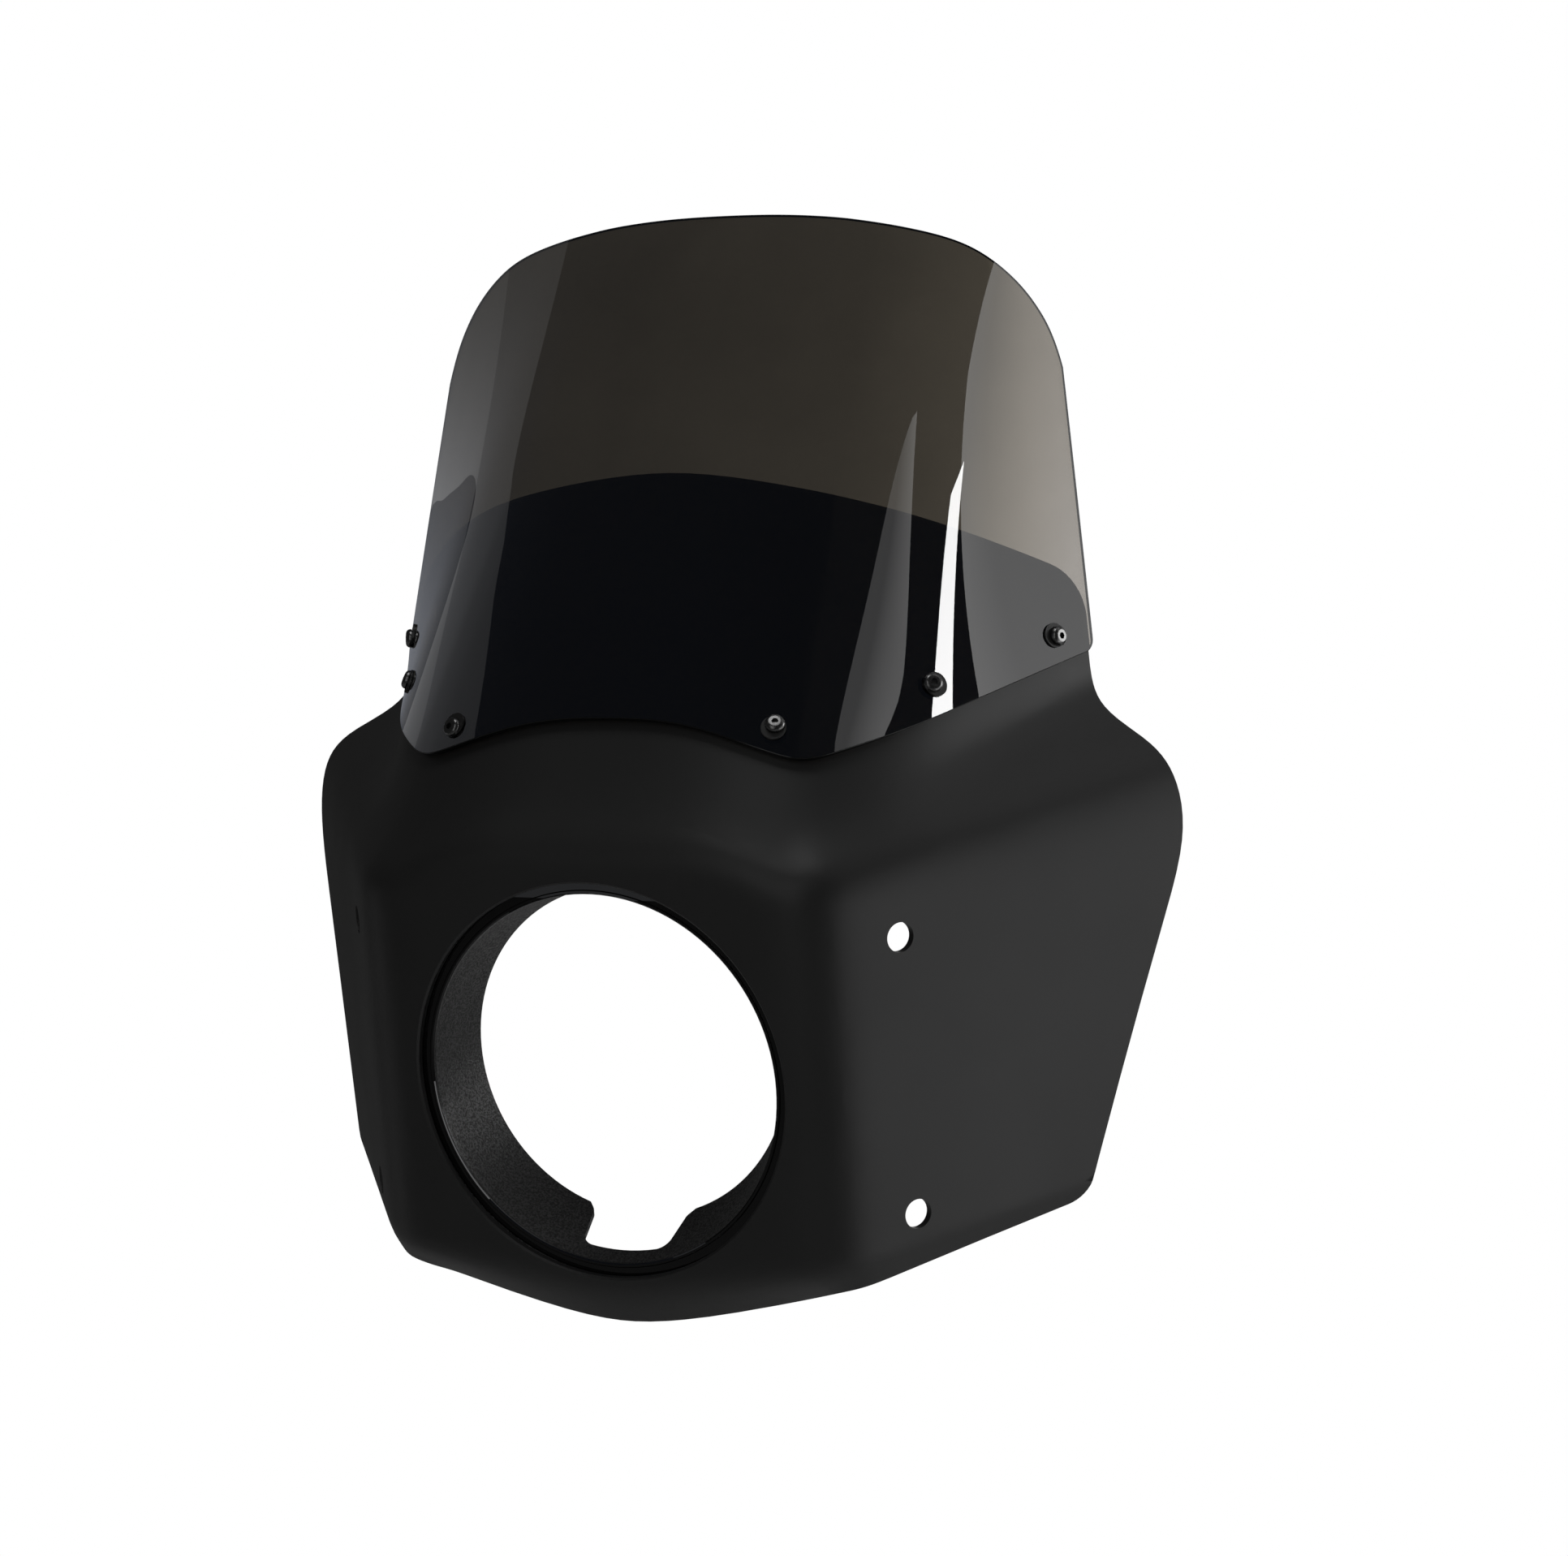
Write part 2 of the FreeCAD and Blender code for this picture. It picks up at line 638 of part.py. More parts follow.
def make_ring(label):
    """Funnel ring behind the opening: flange, four ears, bead at the front and a notch at the bottom."""
    front = "-(Sizes.shell_wall + Sizes.ring_gap)"
    rear = "-(Sizes.shell_wall + Sizes.ring_gap + Sizes.ring_depth)"
    ear = "-(Sizes.shell_wall + Sizes.boss_length)"
    body = doc.addObject("PartDesign::Body", label)
    body.Label = label

    def funnel(kind, name, extra, lift_front, lift_rear):
        mouth = circle_sketch(body, f"{label}_{name}_mouth", "XZ_Plane",
                              f"{RING_FRONT} + {extra}", lift=lift_front)
        tail = circle_sketch(body, f"{label}_{name}_tail", "XZ_Plane",
                             f"{RING_REAR} + {extra}", up="Sizes.ring_rear_rise", lift=lift_rear)
        loft = body.newObject(kind, f"{label}_{name}")
        loft.Profile = mouth
        loft.Sections = [tail]
        loft.Ruled = True
        doc.recompute()

    funnel("PartDesign::AdditiveLoft", "outside", "Sizes.ring_wall", front, rear)
    flange = body.newObject("PartDesign::Pad", f"{label}_flange")
    flange.Profile = circle_sketch(body, f"{label}_flange_edge", "XZ_Plane",
                                   "Sizes.lamp_hole_radius + Sizes.ring_flange_lap", lift=front)
    flange.setExpression("Length", "Sizes.ring_wall")
    flange.Reversed = True
    doc.recompute()

    tongue = body.newObject("Sketcher::SketchObject", f"{label}_ear_edge")
    attach(tongue, body, "XZ_Plane", ear)
    turned = Rotation(Vector(0, 0, 1), size("boss_angle"))
    tongue.AttachmentOffset = Placement(tongue.AttachmentOffset.Base, turned)
    tongue.setExpression("AttachmentOffset.Base.z", ear)
    root = float(tongue.evalExpression(RING_REAR))
    centre = float(tongue.evalExpression(BOSS_CIRCLE))
    half = size("ear_radius")
    hole = size("tapper_shank_radius") + size("screw_clearance")
    tongue.addGeometry(Part.LineSegment(Vector(root, half, 0), Vector(root, -half, 0)))
    tongue.addGeometry(Part.LineSegment(Vector(root, -half, 0), Vector(centre, -half, 0)))
    round_end = Part.Circle(Vector(centre, 0, 0), Vector(0, 0, 1), half)
    tongue.addGeometry(Part.ArcOfCircle(round_end, -math.pi / 2, math.pi / 2))
    tongue.addGeometry(Part.LineSegment(Vector(centre, half, 0), Vector(root, half, 0)))
    tongue.addGeometry(Part.Circle(Vector(centre, 0, 0), Vector(0, 0, 1), hole))
    tongue.addConstraint([
        Sketcher.Constraint("Coincident", 0, 2, 1, 1), Sketcher.Constraint("Tangent", 1, 2, 2, 1),
        Sketcher.Constraint("Tangent", 2, 2, 3, 1), Sketcher.Constraint("Coincident", 3, 2, 0, 1),
        Sketcher.Constraint("Vertical", 0), Sketcher.Constraint("Horizontal", 1),
        Sketcher.Constraint("Horizontal", 3),
        Sketcher.Constraint("PointOnObject", 2, 3, -1), Sketcher.Constraint("Coincident", 4, 3, 2, 3)])
    for constraint, text in (
            (Sketcher.Constraint("DistanceX", -1, 1, 0, 1, root), RING_REAR),
            (Sketcher.Constraint("DistanceX", -1, 1, 2, 3, centre), BOSS_CIRCLE),
            (Sketcher.Constraint("Radius", 2, half), "Sizes.ear_radius"),
            (Sketcher.Constraint("Radius", 4, hole), "Sizes.tapper_shank_radius + Sizes.screw_clearance")):
        held = tongue.addConstraint(constraint)
        tongue.setExpression(f"Constraints[{held}]", text)
    tab = body.newObject("PartDesign::Pad", f"{label}_ear")
    tab.Profile = tongue
    tab.setExpression("Length", "Sizes.ear_thick")
    tab.Reversed = True
    doc.recompute()
    tabs = body.newObject("PartDesign::PolarPattern", f"{label}_ears")
    tabs.Originals = [tab]
    tabs.Axis = (flange.Profile[0], ["N_Axis"])
    tabs.Angle = 360
    tabs.Occurrences = len(RING_SCREWS)
    body.Tip = tabs
    doc.recompute()

    funnel("PartDesign::SubtractiveLoft", "inside", "0", front, rear)
    bead = body.newObject("PartDesign::Revolution", f"{label}_bead")
    inner = f"{RING_FRONT} - Sizes.bead_lap"
    outer = "Sizes.lamp_hole_radius - Sizes.bead_inset"
    soft = "Sizes.bead_chamfer"
    lip = "Sizes.shell_wall + Sizes.ring_gap - Sizes.bead_rise"
    root = "Sizes.shell_wall + Sizes.ring_gap + Sizes.ring_wall / 2"
    bead.Profile = outline_sketch(body, f"{label}_bead_section", "XY_Plane", [
        (inner, root), (inner, f"{lip} + {soft}"), (f"{inner} + {soft}", lip),
        (f"{outer} - {soft}", lip), (outer, f"{lip} + {soft}"), (outer, root)])
    bead.ReferenceAxis = (bead.Profile[0], ["V_Axis"])
    bead.Angle = 360
    doc.recompute()

    mouth = "Sizes.shell_wall + Sizes.ring_gap + Sizes.ring_depth"
    floor = f"{mouth} - Sizes.notch_depth"
    lip = f"{mouth} - Sizes.notch_lip"
    edge = outline_sketch(body, f"{label}_notch_edge", "XY_Plane", [
        ("-Sizes.notch_floor_half", floor), ("Sizes.notch_floor_half", floor),
        ("Sizes.notch_side_half", lip), ("Sizes.notch_side_half + Sizes.notch_lip", mouth),
        ("-(Sizes.notch_side_half + Sizes.notch_lip)", mouth), ("-Sizes.notch_side_half", lip)])
    round_corners(edge, (0, 1), "Sizes.notch_corner_radius")
    round_corners(edge, (2, 5), "Sizes.notch_lip_radius")
    notch = body.newObject("PartDesign::Pocket", f"{label}_notch")
    notch.Profile = edge
    notch.Type = "ThroughAll"
    doc.recompute()
    return body


def shell_net():
    return mirrored([shell_column(column) for column in range(COLUMNS)])


def screen_bottom(share):
    """Height of the windshield's bottom edge: a hump at the centre, a dip, then a straight rise."""
    dip_share = size("dip_share")
    dip = base_height() - size("dip_under_base")
    hump = base_height() - size("hump_under_base")
    if share >= dip_share:
        return dip + (heel_height() - dip) * (share - dip_share) / (1 - dip_share)
    fall = math.cos(math.pi * (share / dip_share) ** HUMP_POWER)
    return dip + (hump - dip) * (1 + fall) / 2


def screen_top(share):
    """Height of the windshield's top edge, with a rounded corner."""
    radius = size("crown_corner_radius")
    into_corner = max(share * size("top_length") - (size("top_length") - radius), 0.0)
    corner_drop = radius - math.sqrt(max(radius ** 2 - into_corner ** 2, 0.0))
    return size("crown_height") - size("crown_drop") * share ** CROWN_POWER - corner_drop


def screen_net():
    """Control points of the windshield's bottom and top edges, with straight rulings between them."""
    shares = [column_share(column) for column in range(COLUMNS)]
    heights = (screen_bottom, screen_top)
    return mirrored([[screen_point(share, height(share)) for height in heights] for share in shares])


def build():
    """Make every piece and write its file."""
    screen_inner = net_surface(screen_net())
    seats = {f"{side}_{place}": screw_seat(screen_inner, place, sign)
             for side, sign in SIDES.items() for place in PLACES}
    nodes = [
        add_shape("cowl_shell", make_shell(net_surface(shell_net()), seats)),
        add_shape("windshield", make_windshield(screen_inner, seats)),
        make_ring("headlight_ring"),
    ]
    washer_seat = size("screen_wall") + size("washer_seat")
    head_seat = washer_seat + size("washer_thick") + size("washer_seat")
    sleeve_top = -size("sleeve_seat")
    for index, (place, (point, normal)) in enumerate(seats.items()):
        turn = SOCKET_TURN * index
        pieces = {
            f"windshield_screw_{place}": (make_screw, head_seat),
            f"nylon_washer_{place}": (make_washer, washer_seat),
            f"well_nut_sleeve_{place}": (make_sleeve, sleeve_top),
            f"well_nut_insert_{place}": (make_insert, sleeve_top - size("sleeve_length")),
        }
        for label, (maker, lift) in pieces.items():
            body = maker(label)
            set_down(body, point + normal * lift, normal, turn)
            nodes.append(body)
    for turn, corner in enumerate(RING_SCREWS):
        body = make_tapper(f"ring_screw_{corner}")
        ear_face = size("shell_wall") + size("boss_length") + size("ear_thick")
        set_down(body, boss_point(turn, ear_face), BACK)
        nodes.append(body)
    doc.recompute()

    for item in doc.Objects:
        if "Invalid" in item.State or "Error" in item.State:
            raise RuntimeError(f"{item.Label} failed: {item.State}")
    for node in nodes:
        if node.Shape.isNull() or not node.Shape.isValid():
            raise RuntimeError(f"{node.Label} has no valid shape")
    os.makedirs("parts", exist_ok=True)
    for node in nodes:
        node.Shape.exportStep(f"parts/{node.Label}.step")
        print(f"{node.Label}: {node.Shape.Volume / 1000:.2f} cm3, {len(node.Shape.Solids)} solid")


build()
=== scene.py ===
import math

import bmesh
import bpy
from mathutils import Matrix, Vector


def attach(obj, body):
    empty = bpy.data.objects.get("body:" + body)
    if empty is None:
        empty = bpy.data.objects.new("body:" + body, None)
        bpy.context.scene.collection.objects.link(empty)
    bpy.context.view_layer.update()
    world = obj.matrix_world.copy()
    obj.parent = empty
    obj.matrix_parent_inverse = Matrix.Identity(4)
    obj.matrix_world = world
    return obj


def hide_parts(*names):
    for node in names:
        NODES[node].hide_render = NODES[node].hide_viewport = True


# Looks of the headlight cowl, in metres, in the frame of the solids:
# X across, -Y the way the lamp looks, +Z up, origin at the centre of the lamp opening.

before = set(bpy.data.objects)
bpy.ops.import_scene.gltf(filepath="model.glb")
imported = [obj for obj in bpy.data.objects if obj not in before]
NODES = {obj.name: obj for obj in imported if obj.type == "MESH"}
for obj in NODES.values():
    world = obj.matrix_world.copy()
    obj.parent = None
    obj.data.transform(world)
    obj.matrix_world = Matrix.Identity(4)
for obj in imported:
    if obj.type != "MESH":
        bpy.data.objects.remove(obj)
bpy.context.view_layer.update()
MM = 0.001
SIDES = ("left", "right")
PLACES = ("front", "mid", "rear")
CORNERS = ("top_right", "top_left", "bottom_left", "bottom_right")

# Shading of the solids, with widths in millimetres
NODE_WELD = 0.002
SMOOTH_ANGLE = math.radians(30)
RING_ROUNDING = 0.6
RING_SEGMENTS = 3
RING_RIM_ANGLE = math.radians(40)

# Windshield, with the sizes of its solid in millimetres
BASE_HEIGHT = 165.0
BASE_DEPTH = 42.0
BASE_FLAT = 44.0
BASE_BEND_RADIUS = 105.0
BASE_TURN = math.radians(61.0)
BASE_LENGTH = 260.5
TOP_HEIGHT = 385.0
TOP_DEPTH = 208.4
TOP_RADIUS = 390.0
TOP_LENGTH = 160.0
CROWN_HEIGHT = 384.2
CROWN_DROP = 35.0
CROWN_POWER = 2.4
CROWN_CORNER = 45.0
HUMP_HEIGHT = 163.9
HUMP_POWER = 1.67
DIP_HEIGHT = 145.3
DIP_SHARE = 0.385
HEEL_HEIGHT = 172.2
HEEL_RADIUS = 5.0
SCREEN_WALL = 3.0
FRONT_SHARES = (0.0, 0.09, 0.18, 0.265, 0.337)
BEND_SHARES = (0.365, 0.392, 0.418)
PANEL_STEPS = (0.16, 0.32, 0.48, 0.64, 0.80, 0.91, 0.975, 1.0)

# Mesh of the sheet, whose columns crowd towards its two ends, and its rounded edge in millimetres
SHEET_COLUMNS = 220
SHEET_ROWS = 56
END_CROWDING = 0.25
COLUMN_DIGITS = 5
EDGE_ROUNDING = 1.1
EDGE_SEGMENTS = 4
EDGE_RIM_ANGLE = math.radians(50)
EDGE_MATERIAL = 1

# Button head screws of the windshield, in millimetres
HEAD_RADIUS = 4.75
HEAD_HEIGHT = 2.75
HEAD_RIM = 0.6
HEAD_CHAMFER = 0.15
CROWN_RADIUS = 2.6
SHANK_RADIUS = 2.5
SHANK_LENGTH = 20.0
TIP_CHAMFER = 0.5
SOCKET_WIDTH = 3.0
SOCKET_DEPTH = 1.6
SCREW_WELD = 0.001
END_SLICE = 0.3

# Mesh of a screw, with the turn of its socket
CROWN_STEPS = 8
TURNED_STEPS = 48
SCREW_SMOOTH_ANGLE = math.radians(28)
SOCKET_TURN = 0.4
AXIS_ROUNDS = 4

# Values that several finishes share, and the sockets of a Mix node that hold colours
WHITE = (1.0, 1.0, 1.0, 1.0)
PLASTIC_IOR = 1.49
NOISE_LOW = 0.3
NOISE_HIGH = 0.7
MIX_SHARE = 0
MIX_FIRST = 6
MIX_SECOND = 7
MIX_RESULT = 2

# Radii between which the ring's bead is smooth and painted near-black, partly the smooth bead's own colour
# and partly painted shade of the gap between the shell's opening and the ring, and half the width over
# which the grain fades there
SHADED_BEAD_INSIDE = 0.0890
SHADED_BEAD_OUTSIDE = 0.0954
GRAIN_FADE = 0.0002


# Shader sockets that can be used in sums

class Wire:
    def __init__(self, finish, socket):
        self.finish = finish
        self.socket = socket

    def maths(self, operation, first, second):
        return self.finish.node("ShaderNodeMath", {"operation": operation}, {0: first, 1: second})

    def __add__(self, other):
        return self.maths("ADD", self, other)

    def __radd__(self, other):
        return self.maths("ADD", other, self)

    def __mul__(self, other):
        return self.maths("MULTIPLY", self, other)

    def __rmul__(self, other):
        return self.maths("MULTIPLY", other, self)

    def __gt__(self, other):
        return self.maths("GREATER_THAN", self, other)


class Finish:
    """A material or the world, whose nodes are written as calls."""

    def __init__(self, owner):
        self.owner = owner
        owner.use_nodes = True
        self.tree = owner.node_tree
        self.tree.nodes.clear()

    def node(self, kind, settings=None, values=None, result=0):
        made = self.tree.nodes.new(kind)
        for name, value in (settings or {}).items():
            setattr(made, name, value)
        for name, value in (values or {}).items():
            if isinstance(value, Wire):
                self.tree.links.new(value.socket, made.inputs[name])
            else:
                made.inputs[name].default_value = value
        return Wire(self, made.outputs[result]) if len(made.outputs) else None

    def places(self, kind="Object"):
        return self.node("ShaderNodeTexCoord", result=kind)

    def rays(self, kind):
        return self.node("ShaderNodeLightPath", result=kind)

    def noise(self, scale, detail=2.0, roughness=0.5):
        return self.node("ShaderNodeTexNoise", None, {
            "Vector": self.places(), "Scale": scale, "Detail": detail, "Roughness": roughness})

    def ranged(self, value, low, high, to_low, to_high):
        return self.node("ShaderNodeMapRange", None, {
            "Value": value, "From Min": low, "From Max": high, "To Min": to_low, "To Max": to_high})

    def spread(self, noise, to_low, to_high):
        """A noise, taken from the span that it mostly fills to another one."""
        return self.ranged(noise, NOISE_LOW, NOISE_HIGH, to_low, to_high)

    def blend(self, share, first, second):
        return self.node("ShaderNodeMix", {"data_type": "RGBA"}, {
            MIX_SHARE: share, MIX_FIRST: first, MIX_SECOND: second}, result=MIX_RESULT)

    def either(self, share, first, second):
        return self.node("ShaderNodeMixShader", None, {0: share, 1: first, 2: second})

    def bump(self, height, strength, distance):
        return self.node("ShaderNodeBump", None, {
            "Height": height, "Strength": strength, "Distance": distance})

    def surface(self, values):
        shader = self.node("ShaderNodeBsdfPrincipled", None, values)
        self.node("ShaderNodeOutputMaterial", None, {"Surface": shader})
        return self.owner


def new_finish(name):
    return Finish(bpy.data.materials.new(name))


def shade(level):
    return (level, level, level, 1.0)


def satin_black_plastic():
    finish = new_finish("moulded_satin_black")
    cloud = finish.noise(9.0, 3.0)
    pores = finish.noise(2600.0, 2.0, 0.6)
    return finish.surface({
        "Base Color": finish.blend(cloud, shade(0.0150), shade(0.0185)),
        "Roughness": finish.spread(cloud, 0.43, 0.50),
        "IOR": PLASTIC_IOR,
        "Normal": finish.bump(pores, 0.12, 0.0001)})


def grained_black_plastic():
    """Grained plastic of the ring, polished on the bead at its front, whose darker colour there is partly
    the smooth bead's own and partly painted shade of the gap between the shell's opening and the ring.
    """
    finish = new_finish("grained_black")
    grains = finish.noise(1000.0, 3.0, 0.65)
    coarse = finish.noise(430.0)
    flattened = finish.node("ShaderNodeVectorMath", {"operation": "MULTIPLY"}, {
        0: finish.places(), 1: (1, 0, 1)})
    radius = finish.node("ShaderNodeVectorMath", {"operation": "LENGTH"}, {0: flattened}, result="Value")
    inside = finish.ranged(radius, SHADED_BEAD_INSIDE - GRAIN_FADE, SHADED_BEAD_INSIDE + GRAIN_FADE, 1.0, 0.0)
    outside = finish.ranged(radius, SHADED_BEAD_OUTSIDE - GRAIN_FADE, SHADED_BEAD_OUTSIDE + GRAIN_FADE, 0.0, 1.0)
    grained = inside + outside
    height = (grains * 0.65 + coarse * 0.35) * grained
    speckled = finish.blend(finish.ranged(grains, 0.42, 0.62, 0.0, 1.0), shade(0.008), shade(0.060))
    rough = finish.ranged(grains, 0.38, 0.62, 0.62, 0.36)
    return finish.surface({
        # The bead band gets shade(0.004): partly a smooth black bead, partly painted shade of the gap
        # between the shell's opening and the ring
        "Base Color": finish.blend(grained, shade(0.004), speckled),
        "Roughness": rough * grained,
        "IOR": PLASTIC_IOR,
        "Normal": finish.bump(height, 0.9, 0.0004)})


def smoked_sheet():
    finish = new_finish("polished_dark_smoke")
    tint = finish.spread(finish.noise(14.0, 4.0, 0.6), 0.0, 1.0)
    return finish.surface({
        "Base Color": finish.blend(tint, (0.0265, 0.0228, 0.0170, 1.0), (0.0315, 0.0272, 0.0204, 1.0)),
        "Roughness": 0.0,
        "IOR": PLASTIC_IOR,
        "Transmission Weight": 1.0})


def dark_edge_with_gap_shade():
    """Sawn and scraped edge of the smoked sheet, duller than its faces, whose near-black colour is partly
    the smoked edge's own and partly painted shade of the gap between the sheet and the shell.
    """
    finish = new_finish("smoke_edge_painted_gap_shade")
    strokes = finish.noise(1800.0)
    return finish.surface({
        "Base Color": finish.blend(strokes, shade(0.002), shade(0.006)),
        "Roughness": finish.spread(strokes, 0.07, 0.13),
        "IOR": PLASTIC_IOR,
        "Normal": finish.bump(strokes, 0.1, 0.0001)})


def black_oxide():
    finish = new_finish("black_oxide_steel")
    cloud = finish.noise(700.0, 3.0)
    return finish.surface({
        "Base Color": finish.blend(cloud, shade(0.09), shade(0.17)),
        "Metallic": 1.0,
        "Roughness": finish.spread(cloud, 0.20, 0.32)})


def black_nylon():
    finish = new_finish("black_nylon")
    cloud = finish.noise(900.0)
    return finish.surface({
        "Base Color": shade(0.012),
        "Roughness": finish.spread(cloud, 0.34, 0.46),
        "Normal": finish.bump(cloud, 0.1, 0.0001)})


def black_rubber():
    finish = new_finish("moulded_rubber")
    grains = finish.noise(1300.0)
    return finish.surface({
        "Base Color": finish.blend(grains, shade(0.010), shade(0.018)),
        "Roughness": finish.spread(grains, 0.68, 0.85),
        "Normal": finish.bump(grains, 0.25, 0.0002)})


def turned_brass():
    finish = new_finish("turned_brass")
    cloud = finish.noise(1100.0, 3.0)
    return finish.surface({
        "Base Color": finish.blend(cloud, (0.52, 0.36, 0.13, 1.0), (0.68, 0.49, 0.20, 1.0)),
        "Metallic": 1.0,
        "Roughness": finish.spread(cloud, 0.22, 0.38)})


def zinc_plate():
    finish = new_finish("zinc_plate")
    cloud = finish.noise(1000.0, 3.0)
    return finish.surface({
        "Base Color": finish.blend(cloud, (0.46, 0.47, 0.48, 1.0), (0.60, 0.61, 0.62, 1.0)),
        "Metallic": 1.0,
        "Roughness": finish.spread(cloud, 0.25, 0.40)})


FINISHES = {
    "shell": satin_black_plastic(),
    "smoked_sheet": smoked_sheet(),
    "ring": grained_black_plastic(),
    "black_screw": black_oxide(),
    "black_nylon": black_nylon(),
    "rubber_sleeve": black_rubber(),
    "brass_insert": turned_brass(),
    "zinc_screw": zinc_plate(),
}


# Pieces

def smooth_up_to(bm, angle):
    for face in bm.faces:
        face.smooth = True
    for edge in bm.edges:
        edge.smooth = edge.calc_face_angle(0.0) < angle


def add_piece(bm, name, slot, node):
    """A finished mesh as a piece that rides on the cowl and stands for a node."""
    mesh = bpy.data.meshes.new(name)
    bm.to_mesh(mesh)
    bm.free()
    mesh.materials.append(FINISHES[slot])
    piece = bpy.data.objects.new(name, mesh)
    bpy.context.scene.collection.objects.link(piece)
    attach(piece, "root")
    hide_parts(node)
    return piece


def merged_node(node):
    bm = bmesh.new()
    bm.from_mesh(NODES[node].data)
    bmesh.ops.remove_doubles(bm, verts=bm.verts, dist=NODE_WELD * MM)
    return bm


def smooth_piece(node, name, slot):
    """The solid of a node with its round faces shaded smooth."""
    bm = merged_node(node)
    smooth_up_to(bm, SMOOTH_ANGLE)
    return add_piece(bm, name, slot, node)


def round_rims(piece, width, segments, angle):
    bevel = piece.modifiers.new("rims", "BEVEL")
    bevel.width = width * MM
    bevel.segments = segments
    bevel.limit_method = "ANGLE"
    bevel.angle_limit = angle
    bevel.harden_normals = True
    return bevel


# Windshield sheet

def bent_line(distance, flat, radius):
    """Place on a plan line: straight across, then an arc, then straight again. Returns across, back."""
    angle = min(max(distance - flat, 0.0) / radius, BASE_TURN)
    rest = max(distance - flat - radius * BASE_TURN, 0.0)
    across = min(distance, flat) + radius * math.sin(angle) + rest * math.cos(BASE_TURN)
    back = radius * (1 - math.cos(angle)) + rest * math.sin(BASE_TURN)
    return across, back


def ruling_point(share, height):
    """Point of the sheet's outer face at a share of its half length and a height."""
    base_x, base_y = bent_line(share * BASE_LENGTH, BASE_FLAT, BASE_BEND_RADIUS)
    top_x, top_y = bent_line(share * TOP_LENGTH, 0.0, TOP_RADIUS)
    base = Vector((base_x, BASE_DEPTH + base_y, BASE_HEIGHT))
    top = Vector((top_x, TOP_DEPTH + top_y, TOP_HEIGHT))
    return base.lerp(top, (height - BASE_HEIGHT) / (TOP_HEIGHT - BASE_HEIGHT))


def corner_rise(inward, radius):
    """How far a rounded corner has left its straight edge, at a distance into the corner."""
    return radius - math.sqrt(max(radius ** 2 - max(inward, 0.0) ** 2, 0.0))


def bottom_height(share):
    if share >= DIP_SHARE:
        return DIP_HEIGHT + (HEEL_HEIGHT - DIP_HEIGHT) * (share - DIP_SHARE) / (1 - DIP_SHARE)
    fall = math.cos(math.pi * (share / DIP_SHARE) ** HUMP_POWER)
    return DIP_HEIGHT + (HUMP_HEIGHT - DIP_HEIGHT) * (1 + fall) / 2


def top_height(share):
    into_corner = share * TOP_LENGTH - (TOP_LENGTH - CROWN_CORNER)
    return CROWN_HEIGHT - CROWN_DROP * share ** CROWN_POWER - corner_rise(into_corner, CROWN_CORNER)


def edge_poles(height):
    """Control points of the sheet's bottom or top edge, from its left end to its right end."""
    shares = list(FRONT_SHARES + BEND_SHARES)
    shares += [BEND_SHARES[-1] + (1 - BEND_SHARES[-1]) * step for step in PANEL_STEPS]
    right = [ruling_point(share, height(share)) for share in shares]
    left = [Vector((-point.x, point.y, point.z)) for point in reversed(right[1:])]
    return left + right


def spline_point(poles, place):
    """Point of a clamped cubic spline with even knots, at a place from 0 to 1."""
    degree = 3
    spans = len(poles) - degree
    at = place * spans
    span = min(int(at), spans - 1)

    def knot(index):
        return min(max(index - degree, 0), spans)

    near = [poles[span + step].copy() for step in range(degree + 1)]
    for level in range(1, degree + 1):
        for step in range(degree, level - 1, -1):
            low = knot(span + step)
            high = knot(span + step + degree + 1 - level)
            near[step] = near[step - 1].lerp(near[step], (at - low) / (high - low))
    return near[degree]


def sheet_column(low_poles, high_poles, across):
    """Lowest and highest point of the sheet at a place from -1 to 1, with its heel corners rounded."""
    low, high = (spline_point(poles, (across + 1) / 2) for poles in (low_poles, high_poles))
    heel = (low_poles[0] if across < 0 else low_poles[-1]) - low
    rise = corner_rise(HEEL_RADIUS - heel.length, HEEL_RADIUS)
    return low + (high - low).normalized() * rise, high


def make_windshield():
    bm = bmesh.new()
    bmesh.ops.create_grid(bm, x_segments=SHEET_COLUMNS, y_segments=SHEET_ROWS, size=1.0)
    low_poles = edge_poles(bottom_height)
    high_poles = edge_poles(top_height)
    columns = {}
    for vert in bm.verts:
        across = vert.co.x * (1 + END_CROWDING - END_CROWDING * vert.co.x ** 2)
        column = round(vert.co.x, COLUMN_DIGITS)
        if column not in columns:
            columns[column] = sheet_column(low_poles, high_poles, across)
        low, high = columns[column]
        vert.co = low.lerp(high, (vert.co.y + 1) / 2) * MM
    inward = sum((face.normal for face in bm.faces), Vector()).y > 0
    if inward:
        bmesh.ops.reverse_faces(bm, faces=bm.faces)
    smooth_up_to(bm, SMOOTH_ANGLE)
    sheet = add_piece(bm, "smoked_windshield", "smoked_sheet", "windshield")
    sheet.data.materials.append(dark_edge_with_gap_shade())
    wall = sheet.modifiers.new("wall", "SOLIDIFY")
    wall.thickness = SCREEN_WALL * MM
    wall.offset = 1.0
    wall.use_even_offset = True
    # The rims and their rounding take the near-black edge finish, partly the sheet's own dark edge and
    # partly painted shade of the gap between the sheet and the shell
    wall.material_offset_rim = EDGE_MATERIAL
    rims = round_rims(sheet, EDGE_ROUNDING, EDGE_SEGMENTS, EDGE_RIM_ANGLE)
    rims.material = EDGE_MATERIAL


# Screws

